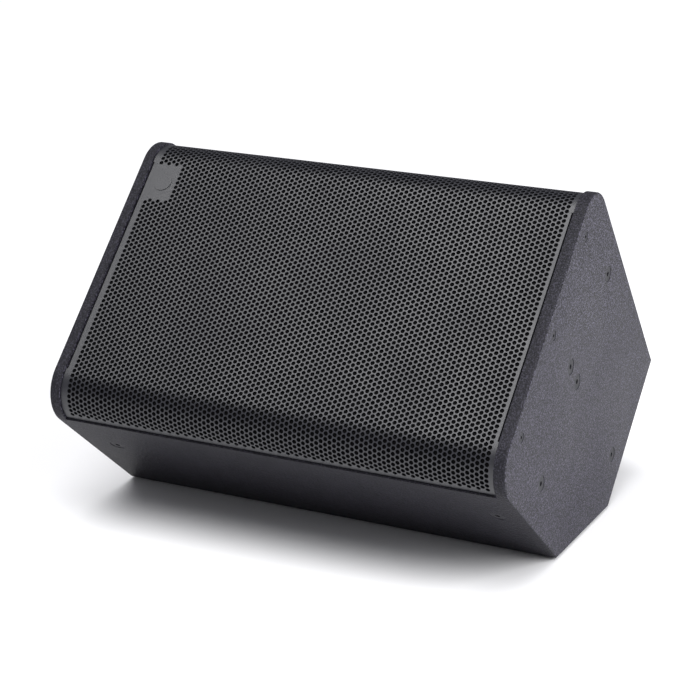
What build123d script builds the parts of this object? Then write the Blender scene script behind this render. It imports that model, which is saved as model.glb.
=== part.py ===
from build123d import *
import os
from math import cos, radians, sqrt, tan

# ---------------------------------------------------------------- driving dimensions (mm)
LENGTH = 635.0  # end to end, along X
DEPTH = 408.0  # grille face to rear face
HALF_FRONT = 217.0  # half the width of the front, measured at its sharp corners
TAPER = 5.8  # each side leans in towards the rear by this many degrees
FLOOR_LINE = 460.4  # the face the cabinet rests on is the line y + z = -FLOOR_LINE
PLY = 15.0  # panel thickness
CORNER_R = 46.0  # wrapped front corners of the grille
CHEEK_PROUD = 2.6  # the end panels and sides stand this far outside the grille
EDGE_ROUND = 3.0  # rounding along the outer edge of the end panels
FOOT_HEIGHT = 3.0
FOOT_R = 13.0

BAFFLE_Z = -40.0  # front face of the baffle
BAFFLE_T = 18.0
GRILLE_T = 1.5
GRILLE_GAP = 2.5  # shadow gap between the flat of the grille and each end panel
GRILLE_EAR = 2.0  # the wrapped corners of the grille reach this far into the gap
EAR_Y = 160.0  # the ears start this far up and down the front
GRILLE_END_Z = -45.0  # the wrapped edges of the grille end here
GRILLE_FLANGE = 34.0  # depth of the folded ends of the grille
REBATE = 5.5  # the side panels step in by this much under the grille
FOAM_T = 7.0

WOOFER_X = -104.0
FRAME_R = 194.0
CUTOUT_R = 177.0
BOLT_CIRCLE_R = 186.0
MAGNET_R = 100.0
COIL_R = 38.0
HORN_X = 196.0
HORN_WIDTH = 186.0
HORN_HEIGHT = 300.0
HORN_DEPTH = 150.0
PORT_R = 28.0
PORT_LENGTH = 110.0

M6_SHANK_R = 3.0
M6_HEAD_R = 6.0
M6_SOCKET = 2.3
M10_SHANK_R = 5.0
M10_HEAD_R = 10.0
M10_SOCKET = 3.5
GRILLE_SCREWS = [(142, -25), (0, -24), (-139, -25)]
RIGGING_POINTS = [(156, -139), (4, -111), (3, -149), (-148, -135), (3, -360)]
SIDE_RIGGING_X = (-264.0, 280.0)
SIDE_RIGGING_Z = -124.5

HANDLE_X = -10.0
HANDLE_Z = -235.0
HANDLE_LONG = 150.0
HANDLE_SHORT = 90.0
HANDLE_DEPTH = 55.0
DISH_X = 185.0
DISH_Y = 66.0
DISH_LONG = 150.0
DISH_SHORT = 100.0
DISH_DEPTH = 32.0
WALL = 3.0
POLE_R = 17.75  # takes a 35 mm pole
POLE_DEPTH = 85.0
POLE_Z = -245.0
BOARD_X = -165.0
BOARD_Y = 66.0
BOARD_LONG = 190.0
BOARD_SHORT = 120.0
STANDOFF = 12.0

LEAN = tan(radians(TAPER))
INNER_X = LENGTH / 2 - PLY
GRILLE_X = INNER_X - GRILLE_GAP
BAFFLE_BACK = BAFFLE_Z - BAFFLE_T
REAR_IN = -DEPTH + PLY
LOW_ALIGN = (Align.CENTER, Align.CENTER, Align.MAX)
HIGH_ALIGN = (Align.CENTER, Align.CENTER, Align.MIN)


def side_y(z, inset=0.0):
    """Height of a side above the centre plane, at depth z."""
    return HALF_FRONT + LEAN * z - inset / cos(radians(TAPER))


def corners(front, inset=0.0):
    """Corners of the cross-section: upper front, upper rear, rear floor, front floor, lower front."""
    rear = -DEPTH + inset
    floor = -FLOOR_LINE + inset * sqrt(2)
    lean_in = inset / cos(radians(TAPER))
    floor_z = (HALF_FRONT - lean_in + floor) / (1 - LEAN)
    return [
        (side_y(front, inset), front),
        (side_y(rear, inset), rear),
        (floor - rear, rear),
        (floor - floor_z, floor_z),
        (-side_y(front, inset), front),
    ]


# The cabinet leans back on its floor face. Its own frame has x along the length, y up the front
# and z out of the front, with z = 0 on the grille.
rear_reach = (side_y(-DEPTH) + DEPTH) / sqrt(2)
CORNER_Y = side_y(-CORNER_R, CORNER_R + CHEEK_PROUD)  # the wrapped corners start here
front_reach = (CORNER_R - CORNER_Y) / sqrt(2) - CORNER_R - CHEEK_PROUD
cabinet = Plane(
    origin=(0, -(rear_reach + front_reach) / 2, FLOOR_LINE / sqrt(2) + FOOT_HEIGHT),
    x_dir=(1, 0, 0),
    z_dir=(0, -1, 1),
)
section = Plane(cabinet.origin, x_dir=cabinet.y_dir, z_dir=cabinet.x_dir)
right_face = section.offset(LENGTH / 2)
left_face = Plane(
    cabinet.from_local_coords((-LENGTH / 2, 0, 0)), x_dir=-cabinet.y_dir, z_dir=-cabinet.x_dir
)
rear_face = Plane(
    cabinet.from_local_coords((0, 0, -DEPTH)), x_dir=-cabinet.x_dir, z_dir=-cabinet.z_dir
)
side_normal = (cabinet.y_dir - cabinet.z_dir * LEAN).normalized()
upper_face = Plane(
    cabinet.from_local_coords((0, side_y(HANDLE_Z), HANDLE_Z)), x_dir=cabinet.x_dir, z_dir=side_normal
)
lower_normal = (-cabinet.y_dir - cabinet.z_dir * LEAN).normalized()
lower_face = Plane(
    cabinet.from_local_coords((0, -side_y(SIDE_RIGGING_Z), SIDE_RIGGING_Z)),
    x_dir=cabinet.x_dir,
    z_dir=lower_normal,
)
floor_face = Plane(origin=(0, 0, FOOT_HEIGHT), x_dir=(1, 0, 0), z_dir=(0, 0, -1))


def radial(x, y=0.0):
    """A plane through the axis at (x, y) of the front: its x is the radius and its y points forward."""
    origin = cabinet.from_local_coords((x, y, 0))
    return Plane(origin, x_dir=cabinet.x_dir, z_dir=-cabinet.y_dir)


def axle(x, y=0.0):
    """The axis that points forward at (x, y) of the front."""
    return Axis(cabinet.from_local_coords((x, y, 0)), cabinet.z_dir)


def flat_head_screws(face, points, head_r, shank_r, length, socket_r):
    """Countersunk screws with hexagonal sockets, their heads flush with the face."""
    head_h = head_r - shank_r
    with Locations(face):
        with Locations(*points):
            Cone(bottom_radius=shank_r, top_radius=head_r, height=head_h, align=LOW_ALIGN)
    with Locations(face.offset(-head_h)):
        with Locations(*points):
            Cylinder(radius=shank_r, height=length - head_h, align=LOW_ALIGN)
    with BuildSketch(face) as sockets:
        with Locations(*points):
            RegularPolygon(radius=socket_r, side_count=6)
    extrude(to_extrude=sockets.sketch, amount=-head_h, mode=Mode.SUBTRACT)


def cap_screws(face, points, head_r, shank_r, length, socket_r):
    """Cap screws standing on the face, with hexagonal sockets."""
    with Locations(face):
        with Locations(*points):
            Cylinder(radius=head_r, height=head_r, align=HIGH_ALIGN)
            Cylinder(radius=shank_r, height=length, align=LOW_ALIGN)
    with BuildSketch(face.offset(head_r)) as sockets:
        with Locations(*points):
            RegularPolygon(radius=socket_r, side_count=6)
    extrude(to_extrude=sockets.sketch, amount=-head_r * 0.6, mode=Mode.SUBTRACT)


def dome(rim_r, rim_z, rise, wall):
    """Outline of half a domed cap, from its axis to its rim. A negative rise faces the rear."""
    ball_r = (rim_r**2 + rise**2) / (2 * abs(rise))
    side = 1 if rise > 0 else -1
    centre = rim_z + rise - side * ball_r
    thin = (ball_r - wall) / ball_r
    mid_r = rim_r / 2
    mid_z = side * sqrt(ball_r**2 - mid_r**2)
    rim = (rim_r, rim_z - centre)
    top = side * ball_r
    Line((0, centre + top * thin), (0, centre + top))
    ThreePointArc((0, centre + top), (mid_r, centre + mid_z), (rim[0], centre + rim[1]))
    Line((rim[0], centre + rim[1]), (rim[0] * thin, centre + rim[1] * thin))
    ThreePointArc(
        (rim[0] * thin, centre + rim[1] * thin),
        (mid_r * thin, centre + mid_z * thin),
        (0, centre + top * thin),
    )


def corner_points(width, height):
    """Four points at the corners of a centred rectangle."""
    return [(sx * width / 2, sy * height / 2) for sx in (-1, 1) for sy in (-1, 1)]


def threaded_inserts(face, points, depth):
    """Flanged barrels set in from the back of a panel, their bores open to the front."""
    with Locations(face.offset(-depth)):
        with Locations(*points):
            Cylinder(radius=M10_SHANK_R + 2, height=PLY - depth, align=LOW_ALIGN)
    with Locations(face.offset(-PLY)):
        with Locations(*points):
            Cylinder(radius=12, height=1.5, align=LOW_ALIGN)
    with Locations(face.offset(-depth)):
        with Locations(*points):
            Hole(radius=M10_SHANK_R, depth=PLY)


# ---------------------------------------------------------------- end panels
with BuildPart() as end_panel_right:
    with BuildSketch(section.offset(INNER_X)) as end_outline:
        with BuildLine():
            Polyline(*corners(CHEEK_PROUD), close=True)
        make_face()
        fillet(end_outline.vertices().group_by(Axis.Y)[-1], CORNER_R + CHEEK_PROUD)
    extrude(amount=PLY)
    fillet(end_panel_right.faces().sort_by(Axis.X)[-1].edges(), EDGE_ROUND)
    with Locations(right_face):
        with Locations(*RIGGING_POINTS):
            CounterSinkHole(radius=M10_SHANK_R + 2, counter_sink_radius=M10_HEAD_R + 0.7, depth=PLY)
        with Locations(*GRILLE_SCREWS):
            CounterSinkHole(radius=M6_SHANK_R + 0.3, counter_sink_radius=M6_HEAD_R + 0.6, depth=PLY)
end_panel_right.part.label = "end_panel_right"

with BuildPart() as end_panel_left:
    mirror(end_panel_right.part, about=Plane.YZ)
    with Locations(left_face):
        with Locations((0, POLE_Z)):
            Hole(radius=POLE_R + WALL, depth=PLY)
end_panel_left.part.label = "end_panel_left"

# ---------------------------------------------------------------- panels between the ends
outer = corners(GRILLE_END_Z - 1.0)
inner = corners(BAFFLE_Z, PLY)
step = corners(GRILLE_END_Z - 1.0, REBATE)
lip = corners(BAFFLE_Z, REBATE)
span_plane = section.offset(-INNER_X)

with BuildPart() as upper_side_panel:
    with BuildSketch(span_plane):
        with BuildLine():
            Polyline(outer[1], outer[0], step[0], lip[0], inner[0], inner[1], close=True)
        make_face()
    extrude(amount=2 * INNER_X)
    with BuildSketch(upper_face):
        with Locations((HANDLE_X, 0)):
            Rectangle(HANDLE_LONG + 2 * WALL, HANDLE_SHORT + 2 * WALL)
    extrude(amount=-2 * PLY, mode=Mode.SUBTRACT)
upper_side_panel.part.label = "upper_side_panel"

with BuildPart() as lower_side_panel:
    with BuildSketch(span_plane):
        with BuildLine():
            Polyline(outer[3], outer[4], step[4], lip[4], inner[4], inner[3], close=True)
        make_face()
    extrude(amount=2 * INNER_X)
    with Locations(lower_face):
        with Locations(*[(x, 0) for x in SIDE_RIGGING_X]):
            CounterSinkHole(radius=M10_SHANK_R + 2, counter_sink_radius=M10_HEAD_R + 0.7, depth=PLY)
lower_side_panel.part.label = "lower_side_panel"

with BuildPart() as rear_panel:
    with BuildSketch(span_plane):
        with BuildLine():
            Polyline(outer[1], outer[2], inner[2], inner[1], close=True)
        make_face()
    extrude(amount=2 * INNER_X)
    with BuildSketch(rear_face):
        with Locations((-DISH_X, DISH_Y)):
            Rectangle(DISH_LONG + 2 * WALL, DISH_SHORT + 2 * WALL)
    extrude(amount=-PLY, mode=Mode.SUBTRACT)
    with Locations(rear_face):
        with Locations((0, DISH_Y)):
            Hole(radius=M10_SHANK_R + 2, depth=PLY)
rear_panel.part.label = "rear_panel"

with BuildPart() as monitor_angle_panel:
    with BuildSketch(span_plane):
        with BuildLine():
            Polyline(outer[2], outer[3], inner[3], inner[2], close=True)
        make_face()
    extrude(amount=2 * INNER_X)
monitor_angle_panel.part.label = "monitor_angle_panel"

PORT_X = -INNER_X + PORT_R + 8
PORT_Y = side_y(BAFFLE_Z - PORT_LENGTH, PLY) - PORT_R - 4
PORTS = [(PORT_X, PORT_Y), (PORT_X, -PORT_Y)]

bolt_circle = PolarLocations(BOLT_CIRCLE_R, 8, start_angle=22.5)
bolt_points = [(WOOFER_X + p.position.X, p.position.Y) for p in bolt_circle.locations]
with BuildPart() as front_baffle:
    with BuildSketch(span_plane):
        with BuildLine():
            Polyline(
                inner[0],
                (side_y(BAFFLE_BACK, PLY), BAFFLE_BACK),
                (-side_y(BAFFLE_BACK, PLY), BAFFLE_BACK),
                inner[4],
                close=True,
            )
        make_face()
    extrude(amount=2 * INNER_X)
    with BuildSketch(cabinet.offset(BAFFLE_Z)):
        with Locations((WOOFER_X, 0)):
            Circle(CUTOUT_R)
        with Locations((HORN_X, 0)):
            Rectangle(HORN_WIDTH - 16, HORN_HEIGHT - 24)
        with Locations(*PORTS):
            Circle(PORT_R + 2)
        with Locations(*bolt_points):
            Circle(2.5)
    extrude(amount=-BAFFLE_T, mode=Mode.SUBTRACT)
front_baffle.part.label = "front_baffle"

BRACE_X = 88.0
BRACE_T = 12.0
with BuildPart() as internal_brace:
    with BuildSketch(section.offset(BRACE_X)):
        with BuildLine():
            inside = corners(BAFFLE_BACK, PLY)
            Polyline(*inside, close=True)
        make_face()
        with Locations((85, -130), (-85, -130), (95, -330)):
            Circle(45, mode=Mode.SUBTRACT)
        with Locations((0, -230)):
            RectangleRounded(150, 90, 30, mode=Mode.SUBTRACT)
    extrude(amount=BRACE_T)
internal_brace.part.label = "internal_brace"

with BuildPart() as baffle_battens:
    for x in (-INNER_X, INNER_X - 18):
        with BuildSketch(section.offset(x)):
            with Locations((0, BAFFLE_BACK - 9)):
                Rectangle(250, 18)
        extrude(amount=18)
baffle_battens.part.label = "baffle_battens"

# ---------------------------------------------------------------- grille
def wrapped_band(under, thickness, end_z):
    """A band that follows the grille: up one wrapped corner, across the front and down the other."""
    past_end = end_z - CORNER_R
    for inset, mode in ((under, Mode.ADD), (under + thickness, Mode.SUBTRACT)):
        y_front = side_y(-inset, inset + CHEEK_PROUD)
        y_past = side_y(past_end, inset + CHEEK_PROUD)
        with BuildSketch(mode=Mode.PRIVATE) as shape:
            with BuildLine():
                Polyline(
                    (y_front, -inset),
                    (y_past, past_end),
                    (-y_past, past_end),
                    (-y_front, -inset),
                    close=True,
                )
            make_face()
            fillet(shape.vertices().group_by(Axis.Y)[-1], CORNER_R - inset)
        add(shape.sketch, mode=mode)
    with Locations((0, end_z)):
        Rectangle(3 * HALF_FRONT, 2 * CORNER_R, align=(Align.CENTER, Align.MAX), mode=Mode.SUBTRACT)


EAR_X = GRILLE_X + GRILLE_EAR
with BuildPart() as front_grille:
    with BuildSketch(section.offset(-EAR_X)):
        wrapped_band(0, GRILLE_T, GRILLE_END_Z)
    extrude(amount=2 * EAR_X)
    with BuildSketch(cabinet):
        with Locations((-GRILLE_X - GRILLE_EAR, 0), (GRILLE_X + GRILLE_EAR, 0)):
            Rectangle(2 * GRILLE_EAR, 2 * EAR_Y)
    extrude(amount=-2 * GRILLE_T, mode=Mode.SUBTRACT)
    for x in (-GRILLE_X, GRILLE_X - GRILLE_T):
        with BuildSketch(section.offset(x)):
            with Locations((0, -GRILLE_T)):
                Rectangle(2 * EAR_Y, GRILLE_FLANGE - GRILLE_T, align=(Align.CENTER, Align.MAX))
            with Locations(*GRILLE_SCREWS):
                Circle(M6_SHANK_R + 1.5, mode=Mode.SUBTRACT)
        extrude(amount=GRILLE_T)
front_grille.part.label = "front_grille"

FLANGE_IN = GRILLE_X - GRILLE_T
with BuildPart() as grille_foam:
    with BuildSketch(section.offset(-FLANGE_IN + 1)):
        wrapped_band(GRILLE_T + 0.5, FOAM_T, BAFFLE_Z + 1)
    extrude(amount=2 * FLANGE_IN - 2)
grille_foam.part.label = "grille_foam"

BADGE_R = 13.0
BADGE_T = 0.8
BADGE_IN_X = 25.0
BADGE_IN_Y = 29.0
with BuildPart() as grille_badge:
    with BuildSketch(cabinet):
        with Locations((-GRILLE_X + BADGE_IN_X, EAR_Y - BADGE_IN_Y)):
            Circle(BADGE_R)
    extrude(amount=BADGE_T)
grille_badge.part.label = "grille_badge"

RECESS = 0.6
with BuildPart() as grille_screws:
    flat_head_screws(
        right_face.offset(-RECESS), GRILLE_SCREWS, M6_HEAD_R, M6_SHANK_R, 26, M6_SOCKET
    )
    mirror(about=Plane.YZ)
grille_screws.part.label = "grille_screws"

with BuildPart() as grille_rivet_nuts:
    with BuildSketch(section.offset(FLANGE_IN)):
        with Locations(*GRILLE_SCREWS):
            Circle(7)
            Circle(M6_SHANK_R, mode=Mode.SUBTRACT)
    extrude(amount=-1.2)
    with BuildSketch(section.offset(FLANGE_IN - 1.2)):
        with Locations(*GRILLE_SCREWS):
            Circle(4.5)
            Circle(M6_SHANK_R, mode=Mode.SUBTRACT)
    extrude(amount=-9)
    mirror(about=Plane.YZ)
grille_rivet_nuts.part.label = "grille_rivet_nuts"

# ---------------------------------------------------------------- rigging points
INSERT_SET = 6.0  # the inserts start this far under the outer face
side_points = [(x, 0) for x in SIDE_RIGGING_X]

with BuildPart() as rigging_inserts:
    threaded_inserts(right_face, RIGGING_POINTS, INSERT_SET)
    mirror(about=Plane.YZ)
    threaded_inserts(lower_face, side_points, INSERT_SET)
rigging_inserts.part.label = "rigging_inserts"

with BuildPart() as rigging_blanking_screws:
    flat_head_screws(
        right_face.offset(-RECESS), RIGGING_POINTS, M10_HEAD_R, M10_SHANK_R, 14, M10_SOCKET
    )
    mirror(about=Plane.YZ)
    flat_head_screws(lower_face.offset(-RECESS), side_points, M10_HEAD_R, M10_SHANK_R, 14, M10_SOCKET)
rigging_blanking_screws.part.label = "rigging_blanking_screws"

with BuildPart() as rear_safety_insert:
    threaded_inserts(rear_face, [(0, DISH_Y)], 0)
rear_safety_insert.part.label = "rear_safety_insert"

# ---------------------------------------------------------------- woofer
woofer_plane = radial(WOOFER_X)
woofer_axis = axle(WOOFER_X)
FRAME_T = 6.0
FRAME_Z = BAFFLE_Z + FRAME_T
TOP_PLATE_Z = -156.0
TOP_PLATE_T = 10.0
MAGNET_T = 24.0
SPIDER_Z = -138.0
CONE_BACK_Z = -128.0
CONE_R = 159.0
CONE_FRONT_Z = -46.0
CAP_R = 60.0

with BuildPart() as woofer_basket:
    with BuildSketch(woofer_plane):
        with BuildLine():
            Polyline(
                (FRAME_R, FRAME_Z),
                (FRAME_R, BAFFLE_Z),
                (CUTOUT_R - 1, BAFFLE_Z),
                (CUTOUT_R - 1, BAFFLE_Z - 14),
                (108, SPIDER_Z - 4),
                (96, TOP_PLATE_Z),
                (70, TOP_PLATE_Z),
                (70, TOP_PLATE_Z + 5),
                (88, TOP_PLATE_Z + 5),
                (92, SPIDER_Z - 4),
                (92, SPIDER_Z - 1),
                (104, SPIDER_Z),
                (168, BAFFLE_Z - 14),
                (172, FRAME_Z - 4),
                (180, FRAME_Z - 4),
                (180, FRAME_Z),
                close=True,
            )
        make_face()
    revolve(axis=woofer_axis)
    with BuildSketch(cabinet.offset(BAFFLE_Z - 16)):
        with Locations((WOOFER_X, 0)):
            with PolarLocations(0, 6):
                Polygon((110, -28), (185, -62), (185, 62), (110, 28), align=None)
    extrude(amount=SPIDER_Z - BAFFLE_Z + 14, mode=Mode.SUBTRACT)
    with Locations(cabinet.offset(FRAME_Z)):
        with Locations(*bolt_points):
            Hole(radius=3, depth=FRAME_T)
woofer_basket.part.label = "woofer_basket"

with BuildPart() as woofer_gasket:
    with BuildSketch(cabinet.offset(FRAME_Z)):
        with Locations((WOOFER_X, 0)):
            Circle(BOLT_CIRCLE_R - 6)
            Circle(BOLT_CIRCLE_R - 11, mode=Mode.SUBTRACT)
    extrude(amount=3)
woofer_gasket.part.label = "woofer_gasket"

with BuildPart() as woofer_screws:
    cap_screws(cabinet.offset(FRAME_Z), bolt_points, 4.5, 2.5, FRAME_T + BAFFLE_T, 2)
woofer_screws.part.label = "woofer_screws"

with BuildPart() as woofer_top_plate:
    with BuildSketch(cabinet.offset(TOP_PLATE_Z)):
        with Locations((WOOFER_X, 0)):
            Circle(MAGNET_R - 8)
            Circle(COIL_R + 3.5, mode=Mode.SUBTRACT)
    extrude(amount=-TOP_PLATE_T)
woofer_top_plate.part.label = "woofer_top_plate"

with BuildPart() as woofer_magnet:
    with BuildSketch(cabinet.offset(TOP_PLATE_Z - TOP_PLATE_T)):
        with Locations((WOOFER_X, 0)):
            Circle(MAGNET_R)
            Circle(COIL_R + 12, mode=Mode.SUBTRACT)
    extrude(amount=-MAGNET_T)
woofer_magnet.part.label = "woofer_magnet"

MAGNET_BACK_Z = TOP_PLATE_Z - TOP_PLATE_T - MAGNET_T
BACK_PLATE_T = 10.0
with BuildPart() as woofer_back_plate:
    with BuildSketch(woofer_plane):
        with BuildLine():
            Polyline(
                (15, TOP_PLATE_Z + 1),
                (COIL_R - 1.5, TOP_PLATE_Z + 1),
                (COIL_R - 1.5, MAGNET_BACK_Z),
                (MAGNET_R - 8, MAGNET_BACK_Z),
                (MAGNET_R - 12, MAGNET_BACK_Z - BACK_PLATE_T),
                (15, MAGNET_BACK_Z - BACK_PLATE_T),
                close=True,
            )
        make_face()
    revolve(axis=woofer_axis)
woofer_back_plate.part.label = "woofer_back_plate"

with BuildPart() as woofer_voice_coil:
    with BuildSketch(woofer_plane):
        with BuildLine():
            Polyline(
                (COIL_R, CONE_BACK_Z + 6),
                (COIL_R + 0.6, CONE_BACK_Z + 6),
                (COIL_R + 0.6, TOP_PLATE_Z + 3),
                (COIL_R + 1.8, TOP_PLATE_Z + 3),
                (COIL_R + 1.8, TOP_PLATE_Z - 15),
                (COIL_R, TOP_PLATE_Z - 15),
                close=True,
            )
        make_face()
    revolve(axis=woofer_axis)
woofer_voice_coil.part.label = "woofer_voice_coil"

PAPER = 1.4
with BuildPart() as woofer_cone:
    with BuildSketch(woofer_plane):
        with BuildLine():
            Line((COIL_R + 0.6, CONE_BACK_Z), (COIL_R + 0.6, CONE_BACK_Z + PAPER * 1.6))
            ThreePointArc(
                (COIL_R + 0.6, CONE_BACK_Z + PAPER * 1.6),
                (98, -78 + PAPER * 1.2),
                (CONE_R, CONE_FRONT_Z + PAPER),
            )
            Line((CONE_R, CONE_FRONT_Z + PAPER), (CONE_R, CONE_FRONT_Z))
            ThreePointArc((CONE_R, CONE_FRONT_Z), (98, -78), (COIL_R + 0.6, CONE_BACK_Z))
        make_face()
    revolve(axis=woofer_axis)
woofer_cone.part.label = "woofer_cone"

with BuildPart() as woofer_dust_cap:
    with BuildSketch(woofer_plane):
        with BuildLine():
            dome(CAP_R, -105, 22, 1)
        make_face()
    revolve(axis=woofer_axis)
woofer_dust_cap.part.label = "woofer_dust_cap"

SURROUND_IN = CONE_R + 0.3
SURROUND_ROLL_OUT = SURROUND_IN + 12.2
SURROUND_LIP = FRAME_Z - 4
ROLL_MID = (SURROUND_IN + SURROUND_ROLL_OUT) / 2
ROLL_R = (SURROUND_ROLL_OUT - SURROUND_IN) / 2
with BuildPart() as woofer_surround:
    with BuildSketch(woofer_plane):
        with BuildLine():
            top = SURROUND_LIP + 1
            Polyline(
                (SURROUND_IN + 1, top),
                (SURROUND_IN + 1, CONE_FRONT_Z),
                (SURROUND_IN, CONE_FRONT_Z),
                (SURROUND_IN, top),
            )
            ThreePointArc((SURROUND_IN, top), (ROLL_MID, top + ROLL_R), (SURROUND_ROLL_OUT, top))
            Polyline(
                (SURROUND_ROLL_OUT, top),
                (CUTOUT_R + 2.5, top),
                (CUTOUT_R + 2.5, SURROUND_LIP),
                (SURROUND_ROLL_OUT - 1, SURROUND_LIP),
                (SURROUND_ROLL_OUT - 1, top),
            )
            ThreePointArc(
                (SURROUND_ROLL_OUT - 1, top), (ROLL_MID, top + ROLL_R - 1), (SURROUND_IN + 1, top)
            )
        make_face()
    revolve(axis=woofer_axis)
woofer_surround.part.label = "woofer_surround"

with BuildPart() as woofer_spider:
    with BuildSketch(woofer_plane):
        with BuildLine():
            waves = [(COIL_R + 0.9 + 6.2 * i, SPIDER_Z + 3 * (i % 2)) for i in range(9)]
            back = [(r, z + 1.0) for r, z in reversed(waves)]
            Polyline(*waves, *back, close=True)
        make_face()
    revolve(axis=woofer_axis)
woofer_spider.part.label = "woofer_spider"

TERMINAL_X = WOOFER_X + MAGNET_R + 6
TERMINAL_Y = 9.0
with BuildPart() as woofer_terminals:
    with BuildSketch(cabinet.offset(TOP_PLATE_Z - 0.5)):
        with Locations((TERMINAL_X, -TERMINAL_Y), (TERMINAL_X, TERMINAL_Y)):
            Rectangle(11, 9)
    extrude(amount=-9)
woofer_terminals.part.label = "woofer_terminals"

# ---------------------------------------------------------------- horn and compression driver
THROAT_R = 18.0
HORN_FRONT_Z = BAFFLE_Z + 5
THROAT_Z = BAFFLE_Z - HORN_DEPTH


def horn_sections(grow):
    """Sketches at the throat, middle and mouth of the flare, grown outwards by a wall."""
    sketches = []
    stages = [
        (THROAT_Z, 2 * THROAT_R, 2 * THROAT_R, THROAT_R * 0.95),
        (THROAT_Z + HORN_DEPTH * 0.45, 66, 92, 24),
        (BAFFLE_Z, HORN_WIDTH - 30, HORN_HEIGHT - 44, 16),
    ]
    for z, width, height, round_r in stages:
        with BuildSketch(cabinet.offset(z)) as outline:
            with Locations((HORN_X, 0)):
                RectangleRounded(width + 2 * grow, height + 2 * grow, round_r + grow * 0.9)
        sketches.append(outline.sketch)
    return sketches


horn_points = [(HORN_X + x, y) for x, y in corner_points(HORN_WIDTH - 16, HORN_HEIGHT - 16)]
horn_points += [(HORN_X - HORN_WIDTH / 2 + 8, 0), (HORN_X + HORN_WIDTH / 2 - 8, 0)]
with BuildPart() as horn:
    loft(sections=horn_sections(WALL), ruled=True)
    with BuildSketch(cabinet.offset(BAFFLE_Z)):
        with Locations((HORN_X, 0)):
            RectangleRounded(HORN_WIDTH, HORN_HEIGHT, 12)
    extrude(amount=HORN_FRONT_Z - BAFFLE_Z)
    with BuildSketch(cabinet.offset(THROAT_Z)):
        with Locations((HORN_X, 0)):
            Circle(36)
    extrude(amount=8)
    loft(sections=horn_sections(0), ruled=True, mode=Mode.SUBTRACT)
    with BuildSketch(cabinet.offset(BAFFLE_Z)):
        with Locations((HORN_X, 0)):
            RectangleRounded(HORN_WIDTH - 30, HORN_HEIGHT - 44, 16)
        with Locations(*horn_points):
            Circle(2)
    extrude(amount=HORN_FRONT_Z - BAFFLE_Z, mode=Mode.SUBTRACT)
horn.part.label = "horn"

with BuildPart() as horn_screws:
    cap_screws(cabinet.offset(HORN_FRONT_Z), horn_points, 4, 2, 4.5, 1.8)
horn_screws.part.label = "horn_screws"

hf_plane = radial(HORN_X)
hf_axis = axle(HORN_X)
HF_PLATE_Z = THROAT_Z - 12
HF_MAGNET_Z = HF_PLATE_Z - 20
with BuildPart() as hf_throat_plate:
    with BuildSketch(cabinet.offset(THROAT_Z)):
        with Locations((HORN_X, 0)):
            Circle(48)
            Circle(THROAT_R, mode=Mode.SUBTRACT)
    extrude(amount=-12)
hf_throat_plate.part.label = "hf_throat_plate"

with BuildPart() as hf_magnet:
    with BuildSketch(cabinet.offset(HF_PLATE_Z)):
        with Locations((HORN_X, 0)):
            Circle(56)
            Circle(26, mode=Mode.SUBTRACT)
    extrude(amount=-20)
hf_magnet.part.label = "hf_magnet"

with BuildPart() as hf_rear_cover:
    with BuildSketch(hf_plane):
        with BuildLine():
            Polyline(
                (48, HF_MAGNET_Z),
                (52, HF_MAGNET_Z),
                (52, HF_MAGNET_Z - 14),
                (40, HF_MAGNET_Z - 24),
                (0, HF_MAGNET_Z - 24),
                (0, HF_MAGNET_Z - 20),
                (38, HF_MAGNET_Z - 20),
                (48, HF_MAGNET_Z - 12),
                close=True,
            )
        make_face()
    revolve(axis=hf_axis)
hf_rear_cover.part.label = "hf_rear_cover"

DIAPHRAGM_Z = HF_MAGNET_Z - 2
with BuildPart() as hf_diaphragm:
    with BuildSketch(hf_plane):
        with BuildLine():
            dome(25, DIAPHRAGM_Z, -11, 0.5)
        make_face()
    revolve(axis=hf_axis)
    with BuildSketch(cabinet.offset(DIAPHRAGM_Z)):
        with Locations((HORN_X, 0)):
            Circle(32)
            Circle(24.2, mode=Mode.SUBTRACT)
    extrude(amount=-0.5)
    with BuildSketch(cabinet.offset(DIAPHRAGM_Z)):
        with Locations((HORN_X, 0)):
            Circle(25)
            Circle(24.2, mode=Mode.SUBTRACT)
    extrude(amount=7)
hf_diaphragm.part.label = "hf_diaphragm"

# ---------------------------------------------------------------- ports and lining
with BuildPart() as port_tubes:
    with BuildSketch(cabinet.offset(BAFFLE_Z)):
        with Locations(*PORTS):
            Circle(PORT_R + 2)
            Circle(PORT_R, mode=Mode.SUBTRACT)
    extrude(amount=-PORT_LENGTH)
port_tubes.part.label = "port_tubes"

LINING = 20.0
LINING_Z = -165.0
with BuildPart() as lining_pads:
    with BuildSketch(section.offset(-INNER_X + 30)):
        with BuildLine():
            floor_in = corners(0, PLY)
            far = corners(0, PLY + LINING)
            Polyline(
                (-side_y(LINING_Z, PLY), LINING_Z),
                floor_in[3],
                floor_in[2],
                (floor_in[2][0] + 24, floor_in[2][1]),
                (far[2][0] + 24, far[2][1]),
                far[2],
                far[3],
                (-side_y(LINING_Z, PLY + LINING), LINING_Z),
                close=True,
            )
        make_face()
    extrude(amount=BRACE_X - 10 + INNER_X - 30)
lining_pads.part.label = "lining_pads"

# ---------------------------------------------------------------- crossover
rear_inside = cabinet.offset(REAR_IN)
board_points = [(BOARD_X + x, BOARD_Y + y) for x, y in corner_points(BOARD_LONG - 16, BOARD_SHORT - 16)]
BOARD_T = 1.6
BOARD_TOP_Z = REAR_IN + STANDOFF + BOARD_T
board_top = cabinet.offset(BOARD_TOP_Z)

with BuildPart() as crossover_standoffs:
    with BuildSketch(rear_inside):
        with Locations(*board_points):
            RegularPolygon(radius=4, side_count=6)
    extrude(amount=STANDOFF)
crossover_standoffs.part.label = "crossover_standoffs"

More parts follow.
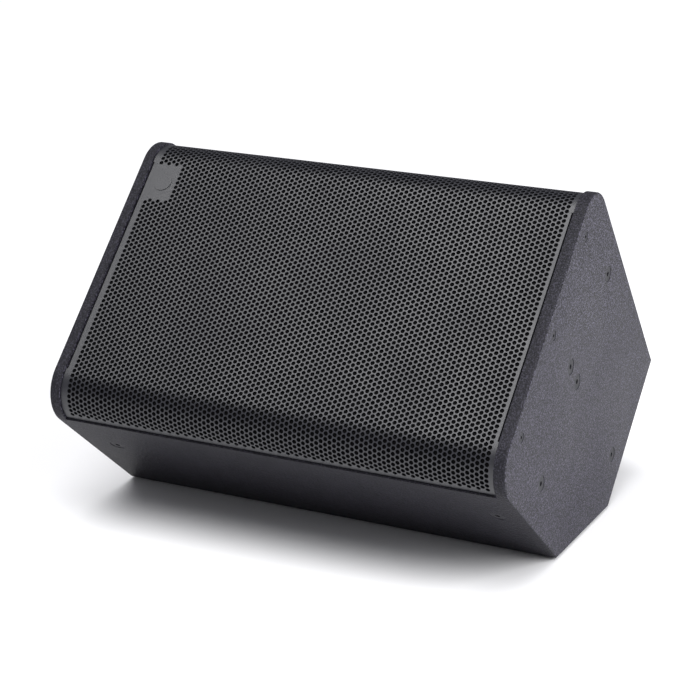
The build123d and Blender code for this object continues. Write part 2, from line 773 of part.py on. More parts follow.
with BuildPart() as crossover_board:
    with BuildSketch(rear_inside.offset(STANDOFF)):
        with Locations((BOARD_X, BOARD_Y)):
            RectangleRounded(BOARD_LONG, BOARD_SHORT, 4)
    extrude(amount=BOARD_T)
crossover_board.part.label = "crossover_board"

with BuildPart() as crossover_inductors:
    for x, y, radius in ((-55, 12, 30), (8, 22, 24), (58, -22, 20)):
        with BuildSketch(board_top):
            with Locations((BOARD_X + x, BOARD_Y + y)):
                Circle(radius)
                Circle(radius * 0.45, mode=Mode.SUBTRACT)
        extrude(amount=24)
crossover_inductors.part.label = "crossover_inductors"

with BuildPart() as crossover_capacitors:
    for x, y, radius in ((46, 32, 11), (72, 32, 11), (-10, -34, 9), (14, -34, 9)):
        with BuildSketch(board_top):
            with Locations((BOARD_X + x, BOARD_Y + y)):
                Circle(radius)
        extrude(amount=32)
crossover_capacitors.part.label = "crossover_capacitors"

RESISTOR_LONG = 48.0
RESISTOR_WIDE = 9.0
LEG_HEIGHT = 2.0
resistor_points = [(BOARD_X - 60, BOARD_Y - 34), (BOARD_X - 60, BOARD_Y - 48)]
leg_points = [(x + side * 0.375 * RESISTOR_LONG, y) for x, y in resistor_points for side in (-1, 1)]
with BuildPart() as crossover_resistors:
    with BuildSketch(board_top.offset(LEG_HEIGHT)):
        with Locations(*resistor_points):
            Rectangle(RESISTOR_LONG, RESISTOR_WIDE)
    extrude(amount=RESISTOR_WIDE)
    with BuildSketch(board_top):
        with Locations(*leg_points):
            Circle(1)
    extrude(amount=LEG_HEIGHT)
crossover_resistors.part.label = "crossover_resistors"

# ---------------------------------------------------------------- connector dish in the rear panel
DISH_RIM = 12.0
DISH_RIM_T = 2.0
socket_points = [(-DISH_X - 38, DISH_Y + 8), (-DISH_X + 38, DISH_Y + 8)]
dish_floor = rear_face.offset(-DISH_DEPTH)
dish_screw_points = [(-DISH_X + x, DISH_Y + y) for x, y in corner_points(DISH_LONG + 12, DISH_SHORT + 12)]

with BuildPart() as connector_dish:
    with BuildSketch(rear_face):
        with Locations((-DISH_X, DISH_Y)):
            RectangleRounded(DISH_LONG + 2 * DISH_RIM, DISH_SHORT + 2 * DISH_RIM, 8)
    extrude(amount=DISH_RIM_T)
    with BuildSketch(rear_face):
        with Locations((-DISH_X, DISH_Y)):
            Rectangle(DISH_LONG + 2 * WALL - 1, DISH_SHORT + 2 * WALL - 1)
    extrude(amount=-DISH_DEPTH - WALL)
    with BuildSketch(rear_face.offset(DISH_RIM_T)):
        with Locations((-DISH_X, DISH_Y)):
            Rectangle(DISH_LONG, DISH_SHORT)
    extrude(amount=-DISH_DEPTH - DISH_RIM_T, mode=Mode.SUBTRACT)
    with BuildSketch(dish_floor):
        with Locations(*socket_points):
            Circle(12.2)
        with Locations((-DISH_X, DISH_Y - 30)):
            Rectangle(16.4, 7.4)
    extrude(amount=-WALL, mode=Mode.SUBTRACT)
    with Locations(rear_face.offset(DISH_RIM_T)):
        with Locations(*dish_screw_points):
            Hole(radius=1.5, depth=DISH_RIM_T)
connector_dish.part.label = "connector_dish"

with BuildPart() as connector_sockets:
    with BuildSketch(dish_floor):
        with Locations(*socket_points):
            RectangleRounded(26, 31, 3)
    extrude(amount=2.5)
    with BuildSketch(dish_floor):
        with Locations(*socket_points):
            Circle(12)
    extrude(amount=-26)
    with BuildSketch(dish_floor.offset(2.5)):
        with Locations(*socket_points):
            Circle(10.5)
            Circle(6.5, mode=Mode.SUBTRACT)
    extrude(amount=-22, mode=Mode.SUBTRACT)
connector_sockets.part.label = "connector_sockets"

with BuildPart() as connector_dish_screws:
    cap_screws(rear_face.offset(DISH_RIM_T), dish_screw_points, 3.5, 1.5, DISH_RIM_T - 0.05, 1.6)
connector_dish_screws.part.label = "connector_dish_screws"

with BuildPart() as mode_switch_body:
    with BuildSketch(dish_floor.offset(-WALL)):
        with Locations((-DISH_X, DISH_Y - 30)):
            Rectangle(24, 12)
    extrude(amount=-10)
mode_switch_body.part.label = "mode_switch_body"

SWITCH_TRAVEL = 6.0
with BuildPart() as mode_switch_knob:
    with BuildSketch(dish_floor.offset(-WALL + 0.2)):
        with Locations((-DISH_X + SWITCH_TRAVEL / 2 + 1, DISH_Y - 30)):
            Rectangle(7, 6)
    extrude(amount=WALL + 3)
mode_switch_knob.part.label = "mode_switch_knob"

# ---------------------------------------------------------------- carrying handle in the upper side
HANDLE_RIM = 16.0
GRIP_R = 11.0
handle_corners = corner_points(HANDLE_LONG + HANDLE_RIM, HANDLE_SHORT + HANDLE_RIM)
handle_points = [(HANDLE_X + x, y) for x, y in handle_corners]
with BuildPart() as handle_cup:
    with BuildSketch(upper_face):
        with Locations((HANDLE_X, 0)):
            RectangleRounded(HANDLE_LONG + 2 * HANDLE_RIM, HANDLE_SHORT + 2 * HANDLE_RIM, 12)
    extrude(amount=DISH_RIM_T)
    with BuildSketch(upper_face):
        with Locations((HANDLE_X, 0)):
            Rectangle(HANDLE_LONG + 2 * WALL - 1, HANDLE_SHORT + 2 * WALL - 1)
    extrude(amount=-HANDLE_DEPTH - WALL)
    with BuildSketch(upper_face.offset(DISH_RIM_T)):
        with Locations((HANDLE_X, 0)):
            Rectangle(HANDLE_LONG, HANDLE_SHORT)
    extrude(amount=-HANDLE_DEPTH - DISH_RIM_T, mode=Mode.SUBTRACT)
    with Locations(upper_face.offset(DISH_RIM_T)):
        with Locations(*handle_points):
            Hole(radius=1.5, depth=DISH_RIM_T)
handle_cup.part.label = "handle_cup"

grip_plane = Plane(
    upper_face.from_local_coords((HANDLE_X - HANDLE_LONG / 2, 0, -GRIP_R - 2)),
    x_dir=cabinet.z_dir,
    z_dir=cabinet.x_dir,
)
with BuildPart() as handle_grip:
    with BuildSketch(grip_plane):
        with Locations((-HANDLE_SHORT / 2 + 20, 0)):
            Circle(GRIP_R)
    extrude(amount=HANDLE_LONG)
handle_grip.part.label = "handle_grip"

with BuildPart() as handle_screws:
    cap_screws(upper_face.offset(DISH_RIM_T), handle_points, 3.5, 1.5, DISH_RIM_T - 0.05, 1.6)
handle_screws.part.label = "handle_screws"

# ---------------------------------------------------------------- pole socket in the left end
pole_screw_points = [(x, POLE_Z + y) for x, y in corner_points(40, 40)]
with BuildPart() as pole_socket:
    with BuildSketch(left_face):
        with Locations((0, POLE_Z)):
            Circle(36)
    extrude(amount=DISH_RIM_T)
    with BuildSketch(left_face):
        with Locations((0, POLE_Z)):
            Circle(POLE_R + WALL)
    extrude(amount=-POLE_DEPTH - WALL)
    with BuildSketch(left_face.offset(DISH_RIM_T)):
        with Locations((0, POLE_Z)):
            Circle(POLE_R)
    extrude(amount=-POLE_DEPTH - DISH_RIM_T, mode=Mode.SUBTRACT)
    with Locations(left_face.offset(DISH_RIM_T)):
        with Locations(*pole_screw_points):
            Hole(radius=1.5, depth=DISH_RIM_T)
pole_socket.part.label = "pole_socket"

with BuildPart() as pole_socket_screws:
    cap_screws(
        left_face.offset(DISH_RIM_T),
        pole_screw_points,
        3.5,
        1.5,
        DISH_RIM_T - 0.05,
        1.6,
    )
pole_socket_screws.part.label = "pole_socket_screws"

# ---------------------------------------------------------------- feet
floor_front = cabinet.from_local_coords((0, outer[3][0], outer[3][1])).Y
floor_rear = cabinet.from_local_coords((0, outer[2][0], outer[2][1])).Y
FOOT_INSET = 32.0
foot_rows = (-floor_front - FOOT_INSET, -floor_rear + FOOT_INSET)
foot_points = [(sx * (LENGTH / 2 - 45), y) for sx in (-1, 1) for y in foot_rows]
with BuildPart() as rubber_feet:
    with BuildSketch(floor_face):
        with Locations(*foot_points):
            Circle(FOOT_R)
    extrude(amount=FOOT_HEIGHT)
    chamfer(rubber_feet.faces().filter_by(Axis.Z).sort_by(Axis.Z)[0:4].edges(), 0.8)
rubber_feet.part.label = "rubber_feet"

with BuildPart() as end_feet:
    with BuildSketch(left_face):
        with Locations((-165, -75), (165, -75), (-140, -375), (35, -385)):
            Circle(FOOT_R)
    extrude(amount=FOOT_HEIGHT)
end_feet.part.label = "end_feet"

# ---------------------------------------------------------------- internal wiring
CABLE_R = 2.5
CABLE_BEND = 14.0
LOOM_X = 60.0
LOOM_Z = BOARD_TOP_Z + 65


def cable(points):
    """A round cable along straight runs joined by arcs, through points of the cabinet frame."""
    path_points = [cabinet.from_local_coords(p) for p in points]
    with BuildLine() as path:
        FilletPolyline(*path_points, radius=CABLE_BEND)
    route = path.wires()[0]
    with BuildSketch(Plane(route @ 0, z_dir=route % 0)) as round_section:
        Circle(CABLE_R)
    sweep(sections=round_section.sketch, path=route)


with BuildPart() as woofer_cable:
    cable(
        [
            (TERMINAL_X + 8, -TERMINAL_Y, TOP_PLATE_Z - 5),
            (LOOM_X, -TERMINAL_Y, TOP_PLATE_Z - 5),
            (LOOM_X, -TERMINAL_Y, LOOM_Z),
            (BOARD_X + BOARD_LONG / 2 - 16, BOARD_Y - 20, BOARD_TOP_Z + 43),
        ],
    )
woofer_cable.part.label = "woofer_cable"

with BuildPart() as horn_cable:
    cable(
        [
            (HORN_X - 30, 0, HF_MAGNET_Z - 26.6),
            (HORN_X - 30, 0, LOOM_Z),
            (LOOM_X, 95, LOOM_Z),
            (BOARD_X + BOARD_LONG / 2 + 4, BOARD_Y + 20, BOARD_TOP_Z + 20),
        ],
    )
horn_cable.part.label = "horn_cable"

with BuildPart() as input_cable:
    cable(
        [
            (DISH_X - 38, DISH_Y + 8, -DEPTH + DISH_DEPTH + 26.2),
            (DISH_X - 38, DISH_Y + 8, LOOM_Z - 5),
            (LOOM_X, 112, LOOM_Z),
            (BOARD_X + BOARD_LONG / 2 + 4, BOARD_Y + 50, BOARD_TOP_Z + 15),
        ],
    )
input_cable.part.label = "input_cable"

# ---------------------------------------------------------------- write every piece
pieces = [
    end_panel_left, end_panel_right, upper_side_panel, lower_side_panel, rear_panel, monitor_angle_panel,
    front_baffle, internal_brace, baffle_battens, front_grille, grille_foam, grille_badge, grille_screws,
    grille_rivet_nuts, rigging_inserts, rigging_blanking_screws, rear_safety_insert, woofer_basket,
    woofer_gasket, woofer_screws, woofer_top_plate, woofer_magnet, woofer_back_plate, woofer_voice_coil,
    woofer_cone, woofer_dust_cap, woofer_surround, woofer_spider, woofer_terminals, horn, horn_screws,
    hf_throat_plate, hf_magnet, hf_rear_cover, hf_diaphragm, port_tubes, lining_pads, crossover_standoffs,
    crossover_board, crossover_inductors, crossover_capacitors, crossover_resistors, connector_dish,
    connector_sockets, connector_dish_screws, mode_switch_body, mode_switch_knob, handle_cup, handle_grip,
    handle_screws, pole_socket, pole_socket_screws, rubber_feet, end_feet, woofer_cable, horn_cable,
    input_cable,
]
os.makedirs("parts", exist_ok=True)
for piece in pieces:
    export_step(piece.part, f"parts/{piece.part.label}.step")
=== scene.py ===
from math import acos, cos, pi, radians, sin, sqrt, tan

import bmesh
import bpy
from mathutils import Matrix, Vector


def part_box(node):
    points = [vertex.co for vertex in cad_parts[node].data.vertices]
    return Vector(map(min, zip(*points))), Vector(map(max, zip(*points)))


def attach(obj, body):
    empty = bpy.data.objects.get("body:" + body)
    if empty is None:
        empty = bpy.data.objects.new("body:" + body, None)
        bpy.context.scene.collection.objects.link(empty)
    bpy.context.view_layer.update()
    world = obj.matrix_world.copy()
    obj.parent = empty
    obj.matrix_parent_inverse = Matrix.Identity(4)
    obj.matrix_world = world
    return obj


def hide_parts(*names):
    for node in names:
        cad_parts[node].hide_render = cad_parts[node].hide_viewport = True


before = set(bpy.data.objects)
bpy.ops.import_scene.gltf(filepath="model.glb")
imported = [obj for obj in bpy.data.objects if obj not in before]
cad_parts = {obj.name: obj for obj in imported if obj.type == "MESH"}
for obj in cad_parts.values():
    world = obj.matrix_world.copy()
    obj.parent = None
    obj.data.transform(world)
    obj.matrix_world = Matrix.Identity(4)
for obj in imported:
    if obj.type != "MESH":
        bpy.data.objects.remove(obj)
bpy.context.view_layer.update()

# ---------------------------------------------------------------- the cabinet's own frame (metres)
TAPER = radians(5.8)  # each side leans in towards the rear
HALF_FRONT = 0.217  # half the width of the front at its sharp corners
CORNER_R = 0.046  # wrapped front corners of the grille
CHEEK_PROUD = 0.0026  # the end panels and sides stand this far outside the grille
GRILLE_T = 0.0015
GRILLE_EAR = 0.002  # the wrapped corners of the grille reach this far past its flat
EAR_Y = 0.160  # the ears start this far up and down the front
GRILLE_END_Z = -0.045
FLANGE = 0.034

grille_low, grille_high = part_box("front_grille")
SHEET_X = grille_high.x - GRILLE_EAR
CORNER_Y = HALF_FRONT - tan(TAPER) * CORNER_R - (CORNER_R + CHEEK_PROUD) / cos(TAPER)
CORNER_SWEEP = acos((GRILLE_END_Z + CORNER_R) / CORNER_R)
SHEET_END = CORNER_Y + CORNER_R * CORNER_SWEEP
corner_reach = (CORNER_Y - CORNER_R) / sqrt(2) + CORNER_R
ORIGIN = Vector((0, grille_low.y + corner_reach, grille_high.z - corner_reach))

X_DIR = Vector((1, 0, 0))
Y_DIR = Vector((0, 1, 1)).normalized()
Z_DIR = Vector((0, -1, 1)).normalized()


def cab(x, y, z):
    """A point of the cabinet frame: x along the length, y up the front, z out of the front."""
    return ORIGIN + X_DIR * x + Y_DIR * y + Z_DIR * z


def wrapped(x, along, under=0.0):
    """A point on the wrapped front.

    along is measured up the sheet from its middle, and under is the depth below its face.
    """
    side = 1 if along > 0 else -1
    angle = max(0.0, abs(along) - CORNER_Y) / CORNER_R
    r = CORNER_R - under
    return cab(x, side * (min(abs(along), CORNER_Y) + r * sin(angle)), r * cos(angle) - CORNER_R)


# ---------------------------------------------------------------- materials
class Nodes:
    """A material and short calls that add nodes to it."""

    def __init__(self, name):
        self.material = bpy.data.materials.new(name)
        self.material.use_nodes = True
        self.tree = self.material.node_tree
        self.tree.nodes.clear()
        self.output = self.tree.nodes.new("ShaderNodeOutputMaterial")
        self.shader = self.tree.nodes.new("ShaderNodeBsdfPrincipled")
        self.join(self.shader.outputs[0], self.output.inputs["Surface"])
        self.place = self.tree.nodes.new("ShaderNodeTexCoord").outputs["Object"]

    def join(self, a, b):
        self.tree.links.new(a, b)

    def noise(self, scale, detail=3.0, rough=0.5, stretch=None, kind="FBM"):
        node = self.tree.nodes.new("ShaderNodeTexNoise")
        node.noise_type = kind
        node.inputs["Scale"].default_value = scale
        node.inputs["Detail"].default_value = detail
        node.inputs["Roughness"].default_value = rough
        self.join(self.mapped(stretch), node.inputs["Vector"])
        return node.outputs["Fac"]

    def cells(self, scale):
        node = self.tree.nodes.new("ShaderNodeTexVoronoi")
        node.inputs["Scale"].default_value = scale
        self.join(self.place, node.inputs["Vector"])
        return node.outputs["Distance"]

    def mapped(self, stretch):
        if stretch is None:
            return self.place
        node = self.tree.nodes.new("ShaderNodeMapping")
        node.inputs["Scale"].default_value = stretch
        self.join(self.place, node.inputs["Vector"])
        return node.outputs["Vector"]

    def remap(self, value, low, high, to_low=0.0, to_high=1.0):
        node = self.tree.nodes.new("ShaderNodeMapRange")
        for name, number in zip(("From Min", "From Max", "To Min", "To Max"), (low, high, to_low, to_high)):
            node.inputs[name].default_value = number
        self.join(value, node.inputs["Value"])
        return node.outputs["Result"]

    def mix(self, factor, a, b):
        """A colour between a and b, each a colour or a socket."""
        node = self.tree.nodes.new("ShaderNodeMix")
        node.data_type = "RGBA"
        self.join(factor, node.inputs["Factor"])
        for socket, value in ((node.inputs[6], a), (node.inputs[7], b)):
            if isinstance(value, bpy.types.NodeSocket):
                self.join(value, socket)
            else:
                socket.default_value = (*value, 1)
        return node.outputs[2]

    def math(self, operation, a, b):
        node = self.tree.nodes.new("ShaderNodeMath")
        node.operation = operation
        for socket, value in zip(node.inputs, (a, b)):
            if isinstance(value, bpy.types.NodeSocket):
                self.join(value, socket)
            else:
                socket.default_value = value
        return node.outputs[0]

    def bump(self, height, distance, strength=1.0, normal=None):
        node = self.tree.nodes.new("ShaderNodeBump")
        node.inputs["Distance"].default_value = distance
        node.inputs["Strength"].default_value = strength
        self.join(height, node.inputs["Height"])
        if normal is not None:
            self.join(normal, node.inputs["Normal"])
        return node.outputs["Normal"]

    def edges(self, low, high):
        """1 on convex edges of the mesh, 0 on its flats."""
        node = self.tree.nodes.new("ShaderNodeNewGeometry")
        return self.remap(node.outputs["Pointiness"], low, high)

    def facing_x(self, low, high):
        """1 on surfaces that face either end, 0 on the others."""
        node = self.tree.nodes.new("ShaderNodeSeparateXYZ")
        self.join(self.tree.nodes["Texture Coordinate"].outputs["Normal"], node.inputs[0])
        return self.remap(self.math("ABSOLUTE", node.outputs["X"], 0.0), low, high)

    def openness(self, distance):
        """0 deep in hollows of this size, 1 out in the open."""
        node = self.tree.nodes.new("ShaderNodeAmbientOcclusion")
        node.inputs["Distance"].default_value = distance
        return node.outputs["AO"]

    def finish(self, color=None, rough=None, normal=None, metal=0.0, specular=0.5):
        settings = (
            ("Base Color", color), ("Roughness", rough), ("Normal", normal), ("Specular IOR Level", specular),
        )
        for name, value in settings:
            socket = self.shader.inputs[name]
            if isinstance(value, bpy.types.NodeSocket):
                self.join(value, socket)
            elif value is not None:
                socket.default_value = (*value, 1) if name == "Base Color" else value
        self.shader.inputs["Metallic"].default_value = metal
        return self.material


def textured_paint():
    """Hard black cabinet paint: a fine speckle of painted glints, strongest on the flat ends, creased where
    it is rolled on.
    """
    n = Nodes("textured_paint")
    facing_ends = n.facing_x(0.75, 0.95)
    speck = n.noise(500, 2, 0.6)
    crease = n.noise(240, 3, 0.55)
    broad = n.noise(5, 4, 0.55)
    scuff = n.remap(n.noise(38, 6, 0.7), 0.62, 0.8)
    creased = n.bump(n.math("MULTIPLY", crease, n.math("SUBTRACT", 1.0, facing_ends)), 0.0016, 0.8)
    normal = n.bump(speck, 0.0007, 0.8, creased)
    base = n.mix(n.remap(broad, 0.3, 0.7), (0.0075, 0.0073, 0.0095), (0.0120, 0.0117, 0.0150))
    # painted glints: bright flecks in the colour stand in for light sparkling on the paint's grain, full on
    # the faces towards the ends and 0.28 of that elsewhere
    glint_amount = n.math("MULTIPLY", n.remap(speck, 0.48, 0.65), n.remap(facing_ends, 0.0, 1.0, 0.28, 1.0))
    base_with_glints = n.mix(glint_amount, base, (0.100, 0.095, 0.130))
    color = n.mix(n.math("MULTIPLY", scuff, 0.2), base_with_glints, (0.045, 0.045, 0.053))
    rough = n.remap(n.math("ADD", speck, broad), 0.6, 1.4, 0.36, 0.60)
    return n.finish(color, rough, normal, specular=0.12)


def raw_plywood():
    """Black-stained birch ply, for the pieces inside."""
    n = Nodes("stained_plywood")
    grain = n.noise(60, 6, 0.6, (1, 14, 14))
    fleck = n.noise(400, 3, 0.6, (1, 6, 6))
    color = n.mix(n.remap(grain, 0.35, 0.65), (0.035, 0.028, 0.022), (0.075, 0.060, 0.045))
    normal = n.bump(fleck, 0.0004, 0.5)
    return n.finish(color, n.remap(grain, 0.3, 0.7, 0.6, 0.8), normal)


def powder_coat(name, color, rough=0.45, grain=2600, specular=0.5):
    """Powder coat on sheet steel: orange-peel skin with a little dust."""
    n = Nodes(name)
    peel = n.noise(grain, 2, 0.5)
    broad = n.noise(9, 4, 0.6)
    shade = n.mix(n.remap(broad, 0.3, 0.7), color, tuple(c * 1.25 for c in color))
    normal = n.bump(peel, 0.00012, 0.6)
    return n.finish(shade, n.remap(broad, 0.3, 0.7, rough - 0.06, rough + 0.08), normal, specular=specular)


def foam_material():
    """Open-pored black foam, almost without sheen, with painted shade in its pores."""
    n = Nodes("acoustic_foam")
    pores = n.cells(900)
    # painted shade: the colour darkens towards the middle of each pore, where the bump sinks in
    color = n.mix(n.remap(pores, 0.1, 0.7), (0.002, 0.002, 0.0022), (0.007, 0.007, 0.0075))
    return n.finish(color, 1.0, n.bump(pores, 0.001, 0.8), specular=0.02)


def black_oxide():
    """Blackened steel screws: brighter on worn edges, with painted shade deep in the sockets, where the sheen
    is taken out.
    """
    n = Nodes("black_oxide_steel")
    broad = n.noise(120, 4, 0.6)
    fine = n.noise(2500, 2, 0.5)
    worn = n.edges(0.52, 0.60)
    # painted shade: the sheen fades to nothing deep in the sockets, so they stay dark whatever light reaches
    # them
    hollow = n.openness(0.006)
    color = n.mix(worn, n.mix(broad, (0.012, 0.012, 0.014), (0.020, 0.020, 0.023)), (0.04, 0.04, 0.045))
    rough = n.remap(broad, 0.3, 0.7, 0.34, 0.5)
    normal = n.bump(fine, 0.00008, 0.5)
    return n.finish(color, rough, normal, specular=n.remap(hollow, 0.4, 0.9, 0.0, 0.05))


def bare_metal(name, low, high, rough):
    """Bright or plated metal, finely brushed."""
    n = Nodes(name)
    brushed = n.noise(700, 4, 0.6)
    broad = n.noise(30, 3, 0.5)
    color = n.mix(n.remap(broad, 0.3, 0.7), low, high)
    brushed_rough = n.remap(brushed, 0.3, 0.7, rough - 0.07, rough + 0.1)
    return n.finish(color, brushed_rough, n.bump(brushed, 0.00006, 0.5), metal=1.0)


def moulded(name, color, rough=0.5, grain=1800, depth=0.00015):
    """Moulded plastic or rubber with a fine eroded texture."""
    n = Nodes(name)
    skin = n.noise(grain, 3, 0.6)
    broad = n.noise(14, 4, 0.6)
    shade = n.mix(n.remap(broad, 0.3, 0.7), color, tuple(c * 1.3 for c in color))
    return n.finish(shade, n.remap(broad, 0.3, 0.7, rough - 0.05, rough + 0.08), n.bump(skin, depth, 0.6))


def fibrous(name, color, scale=420):
    """Pressed paper, cloth or wadding."""
    n = Nodes(name)
    fibres = n.noise(scale, 8, 0.7, kind="RIDGED_MULTIFRACTAL")
    broad = n.noise(18, 4, 0.6)
    shade = n.mix(n.remap(broad, 0.3, 0.7), color, tuple(c * 1.5 for c in color))
    return n.finish(shade, 0.85, n.bump(fibres, 0.0004, 0.6))


paint = textured_paint()
plywood = raw_plywood()
grille_coat = powder_coat("grille_powder_coat", (0.0065, 0.0068, 0.0105), 0.40, specular=0.72)
plate_coat = powder_coat("plate_powder_coat", (0.014, 0.014, 0.016), 0.5)
foam = foam_material()
screw_black = black_oxide()
zinc = bare_metal("zinc_plate", (0.48, 0.48, 0.47), (0.62, 0.62, 0.60), 0.35)
ferrite = moulded("sintered_ferrite", (0.035, 0.035, 0.038), 0.6, 900)
casting = powder_coat("cast_aluminium_black", (0.04, 0.04, 0.042), 0.5, 1200)
paper = fibrous("cone_paper", (0.018, 0.018, 0.019))
cloth = fibrous("coated_cloth", (0.014, 0.014, 0.014), 900)
wadding = fibrous("wadding", (0.05, 0.05, 0.052), 160)
copper = bare_metal("copper_wire", (0.55, 0.24, 0.12), (0.68, 0.32, 0.17), 0.3)
brass = bare_metal("brass", (0.6, 0.42, 0.18), (0.7, 0.52, 0.24), 0.3)
titanium = bare_metal("titanium_foil", (0.4, 0.4, 0.41), (0.5, 0.5, 0.5), 0.3)
plastic = moulded("horn_plastic", (0.022, 0.022, 0.024), 0.45)
socket_plastic = moulded("socket_plastic", (0.03, 0.03, 0.033), 0.4)
board = moulded("circuit_board", (0.012, 0.09, 0.04), 0.35)
film = moulded("capacitor_film", (0.42, 0.30, 0.04), 0.3)
ceramic = moulded("resistor_ceramic", (0.6, 0.6, 0.56), 0.7)
rubber = moulded("black_rubber", (0.016, 0.016, 0.016), 0.7, 1100, 0.0003)

NODE_MATERIALS = {
    paint: [
        "end_panel_left", "end_panel_right", "upper_side_panel", "lower_side_panel", "rear_panel",
        "monitor_angle_panel",
    ],
    plywood: ["internal_brace", "baffle_battens", "front_baffle"],
    foam: ["grille_foam"],
    wadding: ["lining_pads"],
    screw_black: [
        "grille_screws", "rigging_blanking_screws", "woofer_screws", "horn_screws", "connector_dish_screws",
        "handle_screws", "pole_socket_screws",
    ],
    zinc: [
        "grille_rivet_nuts", "rigging_inserts", "rear_safety_insert", "crossover_standoffs",
        "woofer_top_plate", "woofer_back_plate", "hf_throat_plate",
    ],
    ferrite: ["woofer_magnet", "hf_magnet"],
    casting: ["woofer_basket", "hf_rear_cover"],
    paper: ["woofer_cone", "woofer_dust_cap", "woofer_spider"],
    cloth: ["woofer_surround", "woofer_gasket"],
    copper: ["woofer_voice_coil", "crossover_inductors"],
    brass: ["woofer_terminals"],
    titanium: ["hf_diaphragm"],
    plastic: ["horn", "port_tubes", "connector_dish", "mode_switch_body", "mode_switch_knob"],
    socket_plastic: ["connector_sockets"],
    board: ["crossover_board"],
    film: ["crossover_capacitors"],
    ceramic: ["crossover_resistors"],
    plate_coat: ["handle_cup", "pole_socket"],
    rubber: ["handle_grip", "rubber_feet", "end_feet", "woofer_cable", "horn_cable", "input_cable"],
    grille_coat: ["front_grille", "grille_badge"],
}
for material, names in NODE_MATERIALS.items():
    for name in names:
        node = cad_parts[name]
        node.data.materials.clear()
        node.data.materials.append(material)


# ---------------------------------------------------------------- mesh helpers
def new_piece(name, bm, material, replaces=(), body="cabinet", smooth=None):
    """Turns a bmesh in world metres into a piece that rides on a body."""
    mesh = bpy.data.meshes.new(name)
    bmesh.ops.recalc_face_normals(bm, faces=bm.faces)
    bm.to_mesh(mesh)
    bm.free()
    if smooth is not None:
        mesh.shade_smooth()
        mesh.set_sharp_from_angle(angle=smooth)
    mesh.materials.append(material)
    piece = bpy.data.objects.new(name, mesh)
    bpy.context.scene.collection.objects.link(piece)
    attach(piece, body)
    if replaces:
        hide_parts(*replaces)
    return piece


# ---------------------------------------------------------------- perforated grille
PITCH = 0.007
CELL_R = PITCH / sqrt(3)
COLUMN = 1.5 * CELL_R
HOLE_R = 0.00288
HOLE_SIDES = 12
COLUMNS = range(-48, 49)
PIECES = {"left": range(-48, -16), "middle": range(-16, 17), "right": range(17, 49)}
COLUMN_SHIFT = 0.0019
ROW_SHIFT = -0.0006
MARGIN = 0.0045  # plain edge left beyond the last row
EDGE_ROUND = 0.0005
PLATE_X = -0.254  # the plain patch for the badge runs from the left edge to here
PLATE_ALONG = (0.104, 0.1585)
SHARP_ANGLE = 0.6  # radians; edges sharper than this stay sharp
UV_SPAN = 0.66  # the flattened sheet is laid out on a square this wide
UV_LEAN = 0.3  # spreads the walls of the holes in the layout
MOST_ROWS = 40  # more rows each way than the sheet can hold


def rows(column):
    """Places of a column's holes along the sheet; odd columns sit half a pitch higher."""
    offset = ROW_SHIFT + (PITCH / 2 if column % 2 else 0)
    limit = SHEET_END - MARGIN - PITCH / 2
    places = [offset + PITCH * i for i in range(-MOST_ROWS, MOST_ROWS + 1)]
    return [along for along in places if abs(along) <= limit]


def half_length(along):
    """Half the length of the sheet at this height, with the ears."""
    return SHEET_X + (GRILLE_EAR if abs(along) > EAR_Y else 0)


